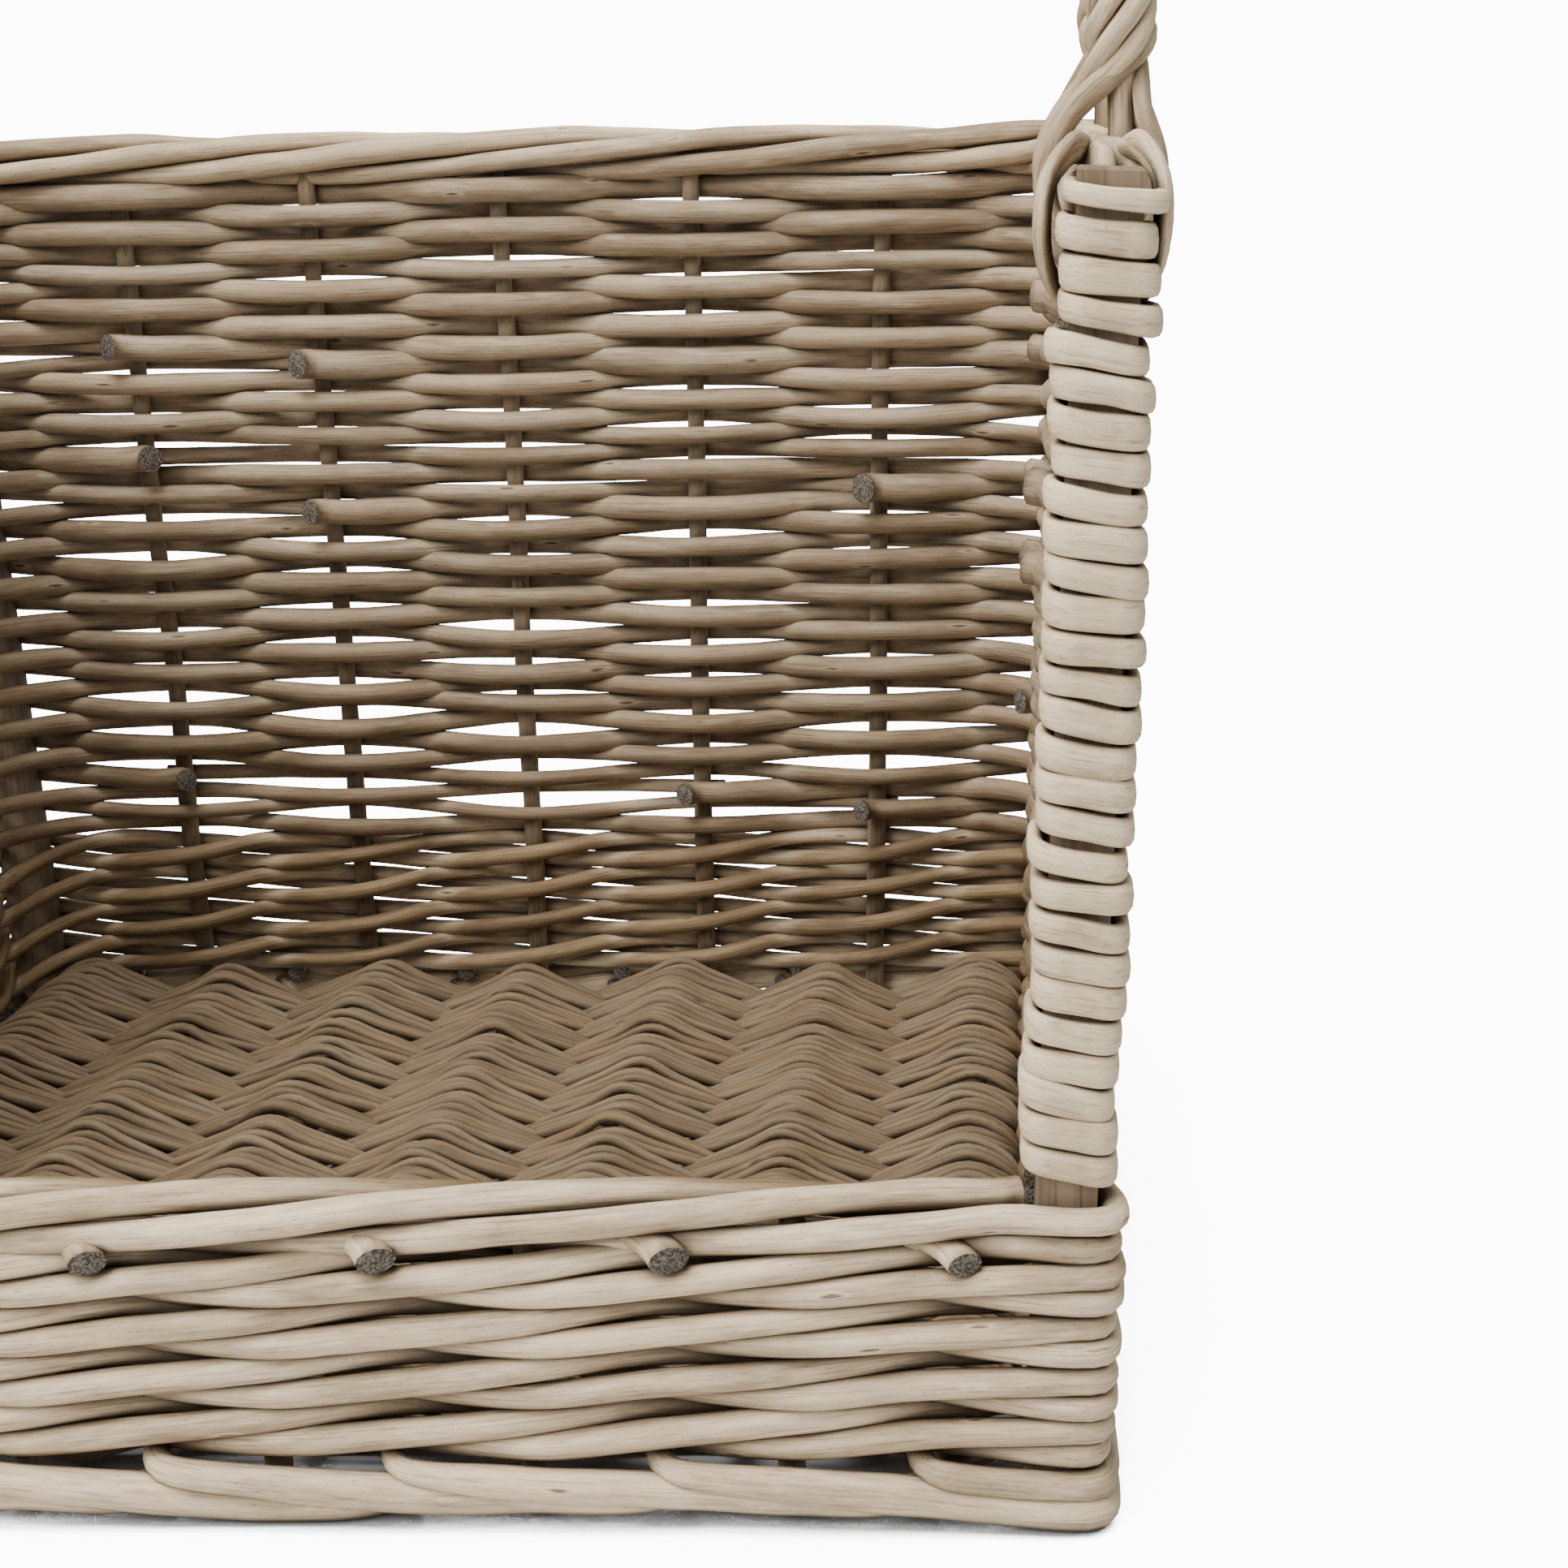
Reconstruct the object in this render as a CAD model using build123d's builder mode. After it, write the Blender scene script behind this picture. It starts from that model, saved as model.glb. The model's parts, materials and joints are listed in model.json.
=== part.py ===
from build123d import *
import os

# Open-fronted wicker log basket on four corner posts.
# X runs from left to right, Y from the open front to the back, Z up from the ground.
# All sizes are in millimetres.

# Overall shape
half_depth = 170  # middle of the basket to the mid-plane of the front and back walls
base_half_width = 176  # middle of the basket to the mid-plane of a side wall, at the ground
rim_half_width = 189  # the same at the rim: the side walls lean outwards
rim_height = 300
front_rim_height = 78
bays = 6  # spaces between the uprights of one wall
walls = ("front", "back", "left", "right")
tall_walls = ("back", "left", "right")

# Sticks and willow rods
clearance = 0.3  # left between pieces that touch in the woven basket
post_side = 13.5
post_height = 296
stake_diameter = 6.2
foot_rod = 7.0
border_rod = 6.5
weaver_rod = 5.9
wale_width = 6.4  # a waling rod is squeezed flat between its neighbours
wale_height = 3.7
floor_stick = 8.0
floor_rod = 4.8

# Bends
stake_bend = 20  # radius of a weaver where it passes a stake
post_bend = 12  # radius of a weaver where it meets a corner post
bend_inset = 0.85  # how far a rounded bend passes inside its corner point

# Woven courses, from the ground up
foot_top = 14.6
course_gap = 0.4
wale_rounds = 4
rods_per_round = 3
wale_pitch = 4.1
wale_bottom = foot_top + course_gap
wale_top = wale_bottom + wale_rounds * rods_per_round * wale_pitch
rand_rows = 36
rand_pitch = 6.1
rand_bottom = wale_top + course_gap
border_height = 13.8

# Places along a wall, measured from its corner
past_post = 5.0  # outer rods run this far past the middle of a corner post
before_post = 12.0  # where a weaver straightens out beside the post
inner_stop = 15.0  # rods inside the wall stop this far short of the corner
wrap_stop = 12.0  # side-panel rods stop this far behind a front post

# Wrappings of the front posts
wrap_count = 28
wrap_side = 20.0
wrap_height = 7.0
wrap_pitch = 7.55
wrap_top = 290

# Floor
floor_level = 12.0
floor_stick_count = 7
floor_stick_pitch = 51
floor_rods = 62
floor_pitch = 5.05
floor_rod_half_length = base_half_width - 13
floor_stick_half_length = half_depth - 11.5

# Handles: a bow over the middle of each side panel
bow_half_span = 64
bow_shoulder = 340
bow_top = 384
bow_top_half_span = 38
bow_bend = 50
bow_diameter = 7.4
bow_foot = rim_height - 14
rope_diameter = 16.5
rope_foot = rim_height + 2
leg_diameter = 6.2
leg_offset = 14.2  # a leg's distance from the mid-plane of the side wall
leg_bottom = rim_height - 26
leg_knee = rim_height - 2
leg_top = rim_height + 22
leg_bend = 60


def half_width(height):
    """Distance from the middle of the basket to the mid-plane of a side wall."""
    return base_half_width + (rim_half_width - base_half_width) * height / rim_height


def half_length(wall, height):
    """Distance from the middle of a wall to the middle of its corner posts."""
    return half_depth if wall in ("left", "right") else half_width(height)


def wall_point(wall, along, outward, height):
    """A point given along a wall, outwards from its mid-plane, and up."""
    if wall == "front":
        return (along, -half_depth - outward, height)
    if wall == "back":
        return (along, half_depth + outward, height)
    if wall == "left":
        return (-half_width(height) - outward, along, height)
    return (half_width(height) + outward, along, height)


def upright_places(wall, height):
    """Places along a wall of its uprights, both corner posts included."""
    reach = half_length(wall, height)
    return [reach * (2 * index / bays - 1) for index in range(bays + 1)]


def straight_rod(start, end, diameter):
    """A straight round rod between two points."""
    run = Vector(*end) - Vector(*start)
    with BuildPart() as rod:
        with BuildSketch(Plane(start, z_dir=run)):
            Circle(diameter / 2)
        extrude(amount=run.length)
    return rod.part


def bent_rod(points, diameter, bends):
    """A round rod of straight runs joined by arcs."""
    with BuildPart() as rod:
        with BuildLine():
            path = FilletPolyline(*points, radius=bends)
        with BuildSketch(Plane(path @ 0, z_dir=path % 0)):
            Circle(diameter / 2)
        sweep()
    return rod.part


def flattened_rod(points, bends):
    """A level waling rod, wider across the wall than it is high."""
    with BuildPart() as rod:
        with BuildLine():
            path = FilletPolyline(*points, radius=bends)
        with BuildSketch(Plane(path @ 0, x_dir=(0, 0, 1), z_dir=path % 0)):
            SlotOverall(wale_width, wale_height, rotation=90)
        sweep()
    return rod.part


def woven_path(wall, height, sides, thickness, ends):
    """Points and bend radii of a weaver that passes each stake on the given side.

    sides holds 1 for outside and -1 for inside, one for each upright, and ends says
    how far past the middle of each corner post the weaver runs (negative: short of it).
    """
    places = upright_places(wall, height)
    past_stake = (stake_diameter + thickness) / 2 + clearance + bend_inset
    past_corner = (post_side + thickness) / 2 + clearance
    points = []
    bends = []
    for index, (place, side) in enumerate(zip(places, sides)):
        at_corner = index in (0, bays)
        if not at_corner:
            points.append(wall_point(wall, place, side * past_stake, height))
            bends.append(stake_bend)
            continue
        outwards = 1 if index else -1
        end = ends[1] if index else ends[0]
        tip = wall_point(wall, place + outwards * end, side * past_corner, height)
        knee = wall_point(wall, place - outwards * before_post, side * past_corner, height)
        if end < -before_post + 1:
            points.append(tip)
        elif index:
            points += [knee, tip]
            bends.append(post_bend)
        else:
            points += [tip, knee]
            bends.append(post_bend)
    return points, bends


def border_strokes(wall, side, low, high, rising, diameter, behind_wraps=False):
    """Sloping rods, one to a bay, that make one face of a roped border."""
    middle = (low + high) / 2
    places = upright_places(wall, middle)
    offset = (stake_diameter + diameter) / 2 + clearance
    corner_offset = (post_side + diameter) / 2 + 5 * clearance
    start_height, end_height = (low, high) if rising else (high, low)
    strokes = []
    for index in range(bays):
        start, end = places[index], places[index + 1]
        start_offset = end_offset = offset
        if index == 0:
            shorten = inner_stop if side < 0 else -past_post
            start += wrap_stop + clearance if behind_wraps else shorten
            start_offset = offset if side < 0 or behind_wraps else corner_offset
        if index == bays - 1:
            end += past_post if side > 0 else -inner_stop
            end_offset = corner_offset if side > 0 else offset
        strokes.append(
            straight_rod(
                wall_point(wall, start, side * start_offset, start_height),
                wall_point(wall, end, side * end_offset, end_height),
                diameter,
            )
        )
    return strokes


def post(x_sign, y_sign):
    """A square corner post that leans with the side wall and is sawn off level."""
    lean = Vector(x_sign * (rim_half_width - base_half_width), 0, rim_height)
    across = Vector(rim_height, 0, -x_sign * (rim_half_width - base_half_width))
    foot = (x_sign * base_half_width, y_sign * half_depth, 0)
    plane = Plane(foot, x_dir=across, z_dir=lean)
    with BuildPart() as stick:
        with BuildSketch(plane.offset(-post_side)):
            Rectangle(post_side, post_side)
        extrude(amount=post_height + post_side)
        split(bisect_by=Plane.XY, keep=Keep.TOP)
        chamfer(stick.faces().sort_by(Axis.Z)[-1].edges(), length=0.6)
    return stick.part


def post_wraps(x_sign):
    """Flattened rods that turn round a front post, one above the other."""
    lean = Vector(x_sign * (rim_half_width - base_half_width), 0, rim_height)
    across = Vector(rim_height, 0, -x_sign * (rim_half_width - base_half_width))
    foot = (x_sign * base_half_width, -half_depth, 0)
    plane = Plane(foot, x_dir=across, z_dir=lean)
    rings = []
    for index in range(wrap_count):
        level = wrap_top - wrap_height / 2 - index * wrap_pitch
        with BuildPart() as ring:
            with BuildSketch(plane.offset(level)):
                RectangleRounded(wrap_side, wrap_side, radius=4)
                Rectangle(
                    post_side + clearance, post_side + clearance, mode=Mode.SUBTRACT
                )
            extrude(amount=wrap_height)
        rings.append(ring.part)
    return rings


def stakes(wall):
    """Upright rods between the corner posts of a wall."""
    top = (front_rim_height if wall == "front" else rim_height) - border_height - 2
    low_places = upright_places(wall, 1)[1:-1]
    high_places = upright_places(wall, top)[1:-1]
    return [
        straight_rod(
            wall_point(wall, low, 0, 1), wall_point(wall, high, 0, top), stake_diameter
        )
        for low, high in zip(low_places, high_places)
    ]


def wale(wall):
    """Rounds of three rods, each passing outside two uprights and inside the third."""
    rods = []
    for course in range(wale_rounds * rods_per_round):
        height = wale_bottom + (course + 0.5) * wale_pitch
        phase = course % rods_per_round
        sides = [
            -1 if (index + phase) % rods_per_round == 0 else 1
            for index in range(bays + 1)
        ]
        end = past_post
        if phase == 0:
            end = 0 if wall in ("left", "right") else -inner_stop
        points, bends = woven_path(wall, height, sides, wale_width, (end, end))
        rods.append(flattened_rod(points, bends))
    return rods


def randing(wall):
    """Single rods that pass outside one upright and inside the next, row over row."""
    is_side = wall in ("left", "right")
    rods = []
    for row in range(rand_rows):
        height = rand_bottom + (row + 0.5) * rand_pitch
        first_side = 1 if (row + is_side) % 2 == 0 else -1
        sides = [first_side * (-1) ** index for index in range(bays + 1)]
        front_end = -wrap_stop if is_side else past_post
        points, bends = woven_path(
            wall, height, sides, weaver_rod, (front_end, past_post)
        )
        rods.append(bent_rod(points, weaver_rod, bends))
    return rods


def floor_stick_places():
    """Places of the floor sticks, from left to right."""
    middle = (floor_stick_count - 1) / 2
    return [(index - middle) * floor_stick_pitch for index in range(floor_stick_count)]


def floor_sticks():
    """Stout rods from front to back that the floor is woven on."""
    return [
        straight_rod(
            (place, -floor_stick_half_length, floor_level),
            (place, floor_stick_half_length, floor_level),
            floor_stick,
        )
        for place in floor_stick_places()
    ]


def floor_weavers():
    """Thin rods from side to side that pass over one floor stick and under the next."""
    places = floor_stick_places()
    past_stick = (floor_stick + floor_rod) / 2 + clearance + bend_inset
    # a weaver keeps its slope from the last stick to its tip
    overhang = floor_rod_half_length - places[-1]
    tip_rise = past_stick * (1 - 2 * overhang / floor_stick_pitch)
    rods = []
    for row in range(floor_rods):
        y = (row - (floor_rods - 1) / 2) * floor_pitch
        sides = [(-1) ** (index + row) for index in range(floor_stick_count)]
        points = [(-floor_rod_half_length, y, floor_level + sides[0] * tip_rise)]
        for place, side in zip(places, sides):
            points.append((place, y, floor_level + side * past_stick))
        points.append((floor_rod_half_length, y, floor_level + sides[-1] * tip_rise))
        rods.append(bent_rod(points, floor_rod, [stake_bend] * floor_stick_count))
    return rods


def rim_tails(wall):
    """Two ends of the rim border that hug the top of a front post."""
    outward = wrap_side / 2 + leg_diameter / 2 + 2 * clearance
    return [
        bent_rod(
            [
                wall_point(wall, -half_depth + 34, side * outward, rim_height - 6),
                wall_point(wall, -half_depth + 8, side * outward, rim_height - 9),
                wall_point(wall, -half_depth + 2, side * outward, rim_height - 30),
            ],
            leg_diameter,
            [stake_bend],
        )
        for side in (-1, 1)
    ]


def bow_points(wall, foot):
    """The route of a handle from one foot, over the top, to the other."""
    x = wall_point(wall, 0, 0, rim_height)[0]
    front_half = [
        (x, -bow_half_span, foot),
        (x, -bow_half_span, bow_shoulder),
        (x, -bow_top_half_span, bow_top),
    ]
    back_half = [(x, -y, z) for x, y, z in reversed(front_half)]
    return front_half + back_half


def handle_rope(wall):
    """The twisted willow round the bow, as one hollow tube."""
    with BuildPart() as rope:
        with BuildLine():
            path = FilletPolyline(*bow_points(wall, rope_foot), radius=bow_bend)
        with BuildSketch(Plane(path @ 0, z_dir=path % 0)):
            Circle(rope_diameter / 2)
            Circle(bow_diameter / 2 + clearance, mode=Mode.SUBTRACT)
        sweep()
    return rope.part


def handle_legs(wall):
    """Rope ends that part above the rim and pass down each side of the wall."""
    top_offset = (rope_diameter + leg_diameter) / 2 + clearance
    x_sign = 1 if wall == "right" else -1
    legs = []
    for y in (-bow_half_span, bow_half_span):
        for side in (-1, 1):
            points = [
                (x_sign * (rim_half_width + side * offset), y, height)
                for offset, height in (
                    (leg_offset, leg_bottom),
                    (leg_offset, leg_knee),
                    (top_offset, leg_top),
                )
            ]
            legs.append(bent_rod(points, leg_diameter, [leg_bend]))
    return legs


def write_piece(name, solids):
    """Gather the separate solids of one piece and write them to its own file."""
    with BuildPart() as piece:
        add(solids)
    piece.part.label = name
    export_step(piece.part, f"parts/{name}.step")


os.makedirs("parts", exist_ok=True)

# Corner posts and the wrapping of the two front ones
for side_name, x_sign in (("left", -1), ("right", 1)):
    write_piece(f"post_front_{side_name}", [post(x_sign, -1)])
    write_piece(f"post_back_{side_name}", [post(x_sign, 1)])
    write_piece(f"post_wraps_{side_name}", post_wraps(x_sign))

# Floor
write_piece("floor_sticks", floor_sticks())
write_piece("floor_weavers", floor_weavers())

# Stakes, foot border and waling, which go all round
foot_low = foot_rod / 2 + clearance / 2
foot_high = foot_top - foot_rod / 2
for wall in walls:
    write_piece(f"stakes_{wall}", stakes(wall))
    write_piece(f"wale_{wall}", wale(wall))
    for face, side in (("outer", 1), ("inner", -1)):
        write_piece(
            f"foot_border_{wall}_{face}",
            border_strokes(wall, side, foot_low, foot_high, False, foot_rod),
        )

# Randing of the tall walls
for wall in tall_walls:
    write_piece(f"weave_{wall}", randing(wall))

# Roped border on the low front wall and round the rim
for wall in walls:
    top = front_rim_height if wall == "front" else rim_height
    high = top - border_rod / 2
    low = top - border_height + border_rod / 2
    behind_wraps = wall in ("left", "right")
    for face, side in (("outer", 1), ("inner", -1)):
        write_piece(
            f"border_{wall}_{face}",
            border_strokes(wall, side, low, high, True, border_rod, behind_wraps),
        )

# Rim ends at the front posts, and the handles
for wall in ("left", "right"):
    write_piece(f"rim_tails_{wall}", rim_tails(wall))
    write_piece(
        f"handle_bow_{wall}",
        [bent_rod(bow_points(wall, bow_foot), bow_diameter, bow_bend)],
    )
    write_piece(f"handle_rope_{wall}", [handle_rope(wall)])
    write_piece(f"handle_legs_{wall}", handle_legs(wall))
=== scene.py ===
import json
import math
import bpy
import numpy as np
from mathutils import Matrix, Vector

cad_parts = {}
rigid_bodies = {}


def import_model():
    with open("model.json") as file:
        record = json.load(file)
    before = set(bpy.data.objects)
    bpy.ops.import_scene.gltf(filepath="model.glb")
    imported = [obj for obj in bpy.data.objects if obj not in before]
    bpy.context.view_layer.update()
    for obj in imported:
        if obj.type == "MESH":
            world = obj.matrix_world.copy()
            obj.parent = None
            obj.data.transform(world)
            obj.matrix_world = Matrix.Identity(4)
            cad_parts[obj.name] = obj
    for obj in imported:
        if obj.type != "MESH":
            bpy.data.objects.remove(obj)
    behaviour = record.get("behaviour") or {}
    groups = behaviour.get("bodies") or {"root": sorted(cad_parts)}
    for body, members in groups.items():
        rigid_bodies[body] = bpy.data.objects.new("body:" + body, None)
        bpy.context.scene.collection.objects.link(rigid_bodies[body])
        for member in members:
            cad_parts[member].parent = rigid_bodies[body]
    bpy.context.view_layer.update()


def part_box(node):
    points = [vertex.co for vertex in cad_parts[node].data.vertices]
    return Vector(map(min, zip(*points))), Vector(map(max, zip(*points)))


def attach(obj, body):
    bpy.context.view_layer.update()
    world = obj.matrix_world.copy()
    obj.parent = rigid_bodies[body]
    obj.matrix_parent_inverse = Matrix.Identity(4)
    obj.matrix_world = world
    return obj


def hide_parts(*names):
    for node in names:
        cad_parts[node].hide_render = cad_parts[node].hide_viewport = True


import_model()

# Wicker log basket: every willow rod is a swept tube that follows the weave of the CAD
# frame. Lengths are in metres, in the frame of the CAD, with the open front towards -Y.

rng = np.random.default_rng(7)
MM = 0.001

# ---------------------------------------------------------------- sizes from the frame

bays = 6  # spaces between uprights along one wall
wall_count = 4  # front, right, back, left, in the order they are walked
front_low, front_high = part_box("stakes_front")
back_low, back_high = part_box("stakes_back")
side_low, side_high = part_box("stakes_right")
post_low, post_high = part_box("post_front_right")
stake_radius = (front_high[1] - front_low[1]) / 2
post_half = (post_high[1] - post_low[1]) / 2
front_plane = (front_low[1] + front_high[1]) / 2
back_plane = (back_low[1] + back_high[1]) / 2
foot_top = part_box("foot_border_front_outer")[1][2]
wale_low, wale_high = (corner[2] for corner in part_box("wale_front"))
weave_low, weave_high = (corner[2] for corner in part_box("weave_back"))
front_border_low, front_border_high = (corner[2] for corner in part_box("border_front_outer"))
rim_low, rim_high = (corner[2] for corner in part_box("border_back_outer"))
floor_low, floor_high = (corner[2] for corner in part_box("floor_weavers"))
floor_front, floor_back = (corner[1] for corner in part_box("floor_sticks"))
wraps_low, wraps_high = (corner[2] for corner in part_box("post_wraps_right"))

# Rod sizes
weaver_radius = 3.3 * MM
wale_radius = 3.3 * MM
border_radius = 3.45 * MM
foot_radius = 4.35 * MM
floor_radius = 1.8 * MM
handle_rod_radius = 2.75 * MM

sharp_bend = 8 * MM  # bends of this radius show the most creases
bend_start = 0.35  # a rod starts to turn at this share of its distance from a corner post
bend_depth = 0.9  # and its bend reaches this share of the way into the corner
inner_bend_depth = 0.95
same_station = 1e-6  # stations this close are the same place
nudge_out = 1e-6  # a rod that crosses the middle of a wall counts as outside it
backdrop_white = 12.0  # radiance of the paper and the backdrop as the camera sees them


def half_width(height):
    """Distance from the middle of the basket to the mid-plane of a leaning side wall."""
    low_x = side_low[0] + stake_radius
    high_x = side_high[0] - stake_radius
    share = (height - side_low[2]) / (side_high[2] - side_low[2])
    return low_x + (high_x - low_x) * share


# ---------------------------------------------------------------- places on the walls


def corner_place(corner, height):
    """Middle of a corner post: 0 front left, 1 front right, 2 back right, 3 back left."""
    x_sign = 1 if corner % wall_count in (1, 2) else -1
    y = front_plane if corner % wall_count in (0, 1) else back_plane
    return np.array([x_sign * half_width(height), y, height])


def outward_of(wall):
    """Outward direction of a wall."""
    return np.array([(0, -1, 0), (1, 0, 0), (0, 1, 0), (-1, 0, 0)][wall % wall_count], float)


def place(station, out, height):
    """A point given in bays round the basket, outwards from the wall, and up."""
    wall = int(math.floor(station / bays))
    share = station / bays - wall
    start = corner_place(wall, height)
    end = corner_place(wall + 1, height)
    return start + (end - start) * share + outward_of(wall) * out


def corner_turn(corner, out, height):
    """Points of a rod that turns sharply round a corner post, outside it or inside it."""
    middle = corner_place(corner, height)
    before = outward_of(corner - 1) * out
    after = outward_of(corner) * out
    if out < 0:
        return [middle + (before + after) * inner_bend_depth]
    return [
        middle + before + after * bend_start,
        middle + (before + after) * bend_depth,
        middle + after + before * bend_start,
    ]


def route(stations, out_at, height_at, corner_reach):
    """Control points of a rod, given where it passes each station round the basket."""
    points = []
    for station in stations:
        out = out_at(station)
        height = height_at(station)
        corner = round(station / bays)
        if abs(station / bays - corner) < same_station:
            points += corner_turn(corner, math.copysign(corner_reach, out), height)
        else:
            points.append(place(station, out, height))
    return points


def insideness(points):
    """How far inside the basket points lie: 0 outside the walls, 1 deep at the bottom."""
    # the willow material paints shade with this: darker deep inside the basket and towards its bottom
    rod_reach = 4 * MM  # past this distance from the middle of a wall a point is fully inside
    depth_start = 0.8 * rim_high
    near_rim = 0.25
    from_side = half_width(points[:, 2]) - np.abs(points[:, 0])
    from_back = back_plane - np.abs(points[:, 1])
    inside = np.clip(np.minimum(from_side, from_back) / rod_reach, 0, 1)
    depth = np.clip(1 - points[:, 2] / depth_start, 0, 1)
    return inside * (near_rim + (1 - near_rim) * depth)


# ---------------------------------------------------------------- rods as swept tubes


def smooth_line(points, step=2.6 * MM, closed=False):
    """A smooth line through the points, sampled at even steps (centripetal spline)."""
    line = np.array(points, float)
    if closed:
        line = np.vstack([line[-1], line, line[0], line[1]])
    else:
        line = np.vstack([2 * line[0] - line[1], line, 2 * line[-1] - line[-2]])
    samples = []
    for index in range(1, len(line) - 2):
        p0, p1, p2, p3 = line[index - 1 : index + 3]
        t1 = max(np.linalg.norm(p1 - p0), 1e-9) ** 0.5
        t2 = t1 + max(np.linalg.norm(p2 - p1), 1e-9) ** 0.5
        t3 = t2 + max(np.linalg.norm(p3 - p2), 1e-9) ** 0.5
        count = max(int(np.linalg.norm(p2 - p1) / step), 2)
        t = np.linspace(t1, t2, count, endpoint=False)[:, None]
        a1 = (t1 - t) / t1 * p0 + t / t1 * p1
        a2 = (t2 - t) / (t2 - t1) * p1 + (t - t1) / (t2 - t1) * p2
        a3 = (t3 - t) / (t3 - t2) * p2 + (t - t2) / (t3 - t2) * p3
        b1 = (t2 - t) / t2 * a1 + t / t2 * a2
        b2 = (t3 - t) / (t3 - t1) * a2 + (t - t1) / (t3 - t1) * a3
        samples.append((t2 - t) / (t2 - t1) * b1 + (t - t1) / (t2 - t1) * b2)
    if not closed:
        samples.append(line[-2][None])
    return np.vstack(samples)


def wander(along, size, wavelength):
    """A gentle random wave along a rod: three sine waves, each shorter and weaker."""
    shortening, weakening, full_height = 1.7, 1.6, 1.8
    wave = np.zeros(len(along))
    for octave in range(3):
        turns = along / wavelength * (shortening**octave) * 2 * math.pi
        wave += np.sin(turns + rng.uniform(0, 2 * math.pi)) / (weakening**octave)
    return size * wave / full_height


class RodBundle:
    """Gathers swept rods and writes them as one mesh.

    Each point keeps its place in the grain of its rod, the tone of the rod, and how
    sharply the rod bends there, for the willow material.
    """

    sides = 12
    crease_blur = np.full(9, 1 / 9)  # creases are averaged over nine samples along a rod
    crease_pinch = 0.12  # a rod is thinner by this share where it is creased
    lump_spacing = 0.06
    grain_length = 40  # each rod's grain starts at a random place along this length
    end_dome = 0.12  # a cut end bulges by this share of the rod's radius

    def __init__(self):
        self.points = []
        self.grain = []
        self.tone = []
        self.bend = []
        self.faces = []
        self.cut_faces = []
        self.count = 0

    def add(self, line, radius, closed=False, flat=(1.0, 1.0), up=(0, 0, 1), uneven=0.05, square=1.0):
        """Sweep one rod along a line of points.

        flat scales its section along and across up, and a square under 1 squares it off.
        """
        line = np.asarray(line, float)
        size = len(line)
        steps = np.linalg.norm(np.diff(line, axis=0), axis=1)
        along = np.concatenate([[0], np.cumsum(steps)])
        if closed:
            tangent = np.roll(line, -1, axis=0) - np.roll(line, 1, axis=0)
        else:
            tangent = np.gradient(line, axis=0)
        tangent /= np.linalg.norm(tangent, axis=1)[:, None]
        spacing = np.gradient(along) + 1e-9
        curvature = np.linalg.norm(np.gradient(tangent, axis=0), axis=1) / spacing
        up = np.broadcast_to(np.asarray(up, float), line.shape)
        normal = up - (up * tangent).sum(axis=1)[:, None] * tangent
        normal /= np.linalg.norm(normal, axis=1)[:, None]
        across = np.cross(tangent, normal)
        creasing = np.convolve(np.clip(curvature * sharp_bend, 0, 1), self.crease_blur, "same")
        pinch = 1 - self.crease_pinch * creasing
        radii = np.broadcast_to(np.asarray(radius, float), (size,)) * pinch
        if uneven:
            fade = 1.0 if not closed else np.sin(np.linspace(0, math.pi, size)) ** 0.5
            radii *= 1 + wander(along, uneven, self.lump_spacing) * fade
        angle = np.linspace(0, 2 * math.pi, self.sides, endpoint=False)
        height = np.sign(np.cos(angle)) * np.abs(np.cos(angle)) ** square * flat[0]
        width = np.sign(np.sin(angle)) * np.abs(np.sin(angle)) ** square * flat[1]
        ring_up = (radii[:, None] * height)[..., None] * normal[:, None]
        ring_across = (radii[:, None] * width)[..., None] * across[:, None]
        self.points.append((line[:, None] + ring_up + ring_across).reshape(-1, 3))
        start = rng.uniform(0, self.grain_length)
        grain = np.empty((size, self.sides, 3))
        grain[..., 0] = along[:, None] + start
        grain[..., 1] = radii[:, None] * height
        grain[..., 2] = radii[:, None] * width
        self.grain.append(grain.reshape(-1, 3))
        shade = rng.uniform(0, 1)
        self.tone.append(np.full(size * self.sides, shade))
        self.bend.append(np.repeat(creasing, self.sides))
        first_ring = self.count
        last_ring = first_ring + (size - 1) * self.sides
        self._stitch(size, closed)
        self.count += size * self.sides
        if not closed:
            dome = tangent * radii[:, None] * self.end_dome
            self._cap(line[0] - dome[0], first_ring, False, shade)
            self._cap(line[-1] + dome[-1], last_ring, True, shade)

    def _stitch(self, size, closed):
        """Join the rings of a rod with quads."""
        ring = np.arange(self.sides)
        following = (ring + 1) % self.sides
        rows = np.arange(size if closed else size - 1)[:, None]
        here = self.count + rows * self.sides
        there = self.count + ((rows + 1) % size) * self.sides
        quads = np.stack([here + ring, here + following, there + following, there + ring], axis=-1)
        self.faces.append(quads.reshape(-1, 4)[:, ::-1])

    def _cap(self, middle, ring, is_last, shade):
        """Close one end of a rod with a fan of cut faces."""
        self.points.append(middle[None])
        self.grain.append(np.zeros((1, 3)))
        self.tone.append(np.array([shade]))
        self.bend.append(np.zeros(1))
        for index in range(self.sides):
            edge = (ring + index, ring + (index + 1) % self.sides)
            self.cut_faces.append((*(edge if is_last else edge[::-1]), self.count))
        self.count += 1

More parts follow.
